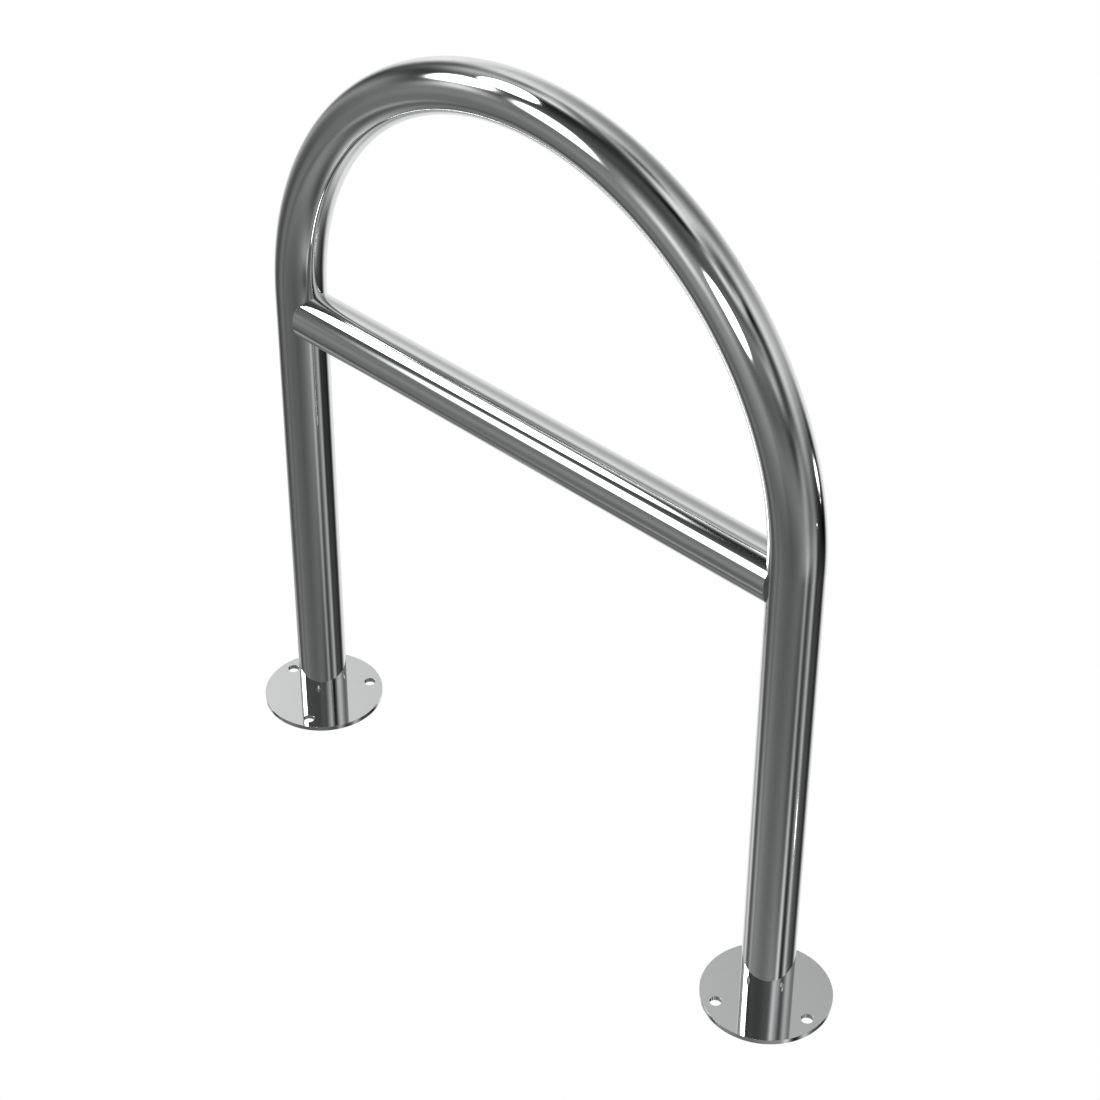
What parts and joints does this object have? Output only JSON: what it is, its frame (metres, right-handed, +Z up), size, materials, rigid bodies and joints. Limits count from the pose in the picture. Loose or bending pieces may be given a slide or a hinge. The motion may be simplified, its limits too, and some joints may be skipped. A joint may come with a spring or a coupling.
{
  "type": "hoop bike rack",
  "caption": "Round-tube hoop rack with a level crossbar under its half-circle top and a drilled round base plate under each leg; a bicycle leans on it and is locked to it.",
  "frame": {"origin": "on the ground surface, midway between the axes of the legs", "axes": "+Z up; X along the rack from leg to leg, +X towards the leg named right; Y across the rack"},
  "size_m": [0.762, 0.127, 0.8509],
  "materials": {
    "polished_stainless": "mirror-polished stainless steel",
    "polished_weld": "weld ground flush and polished with the tube",
    "ground_weld": "weld ground flat under the plate"
  },
  "bodies": {
    "root": {"hoop_tube": "polished_stainless", "crossbar_tube": "polished_stainless", "left_base_plate": "polished_stainless", "right_base_plate": "polished_stainless", "left_crossbar_weld": "polished_weld", "right_crossbar_weld": "polished_weld", "left_base_weld": "ground_weld", "right_base_weld": "ground_weld"}
  },
  "joints": []
}
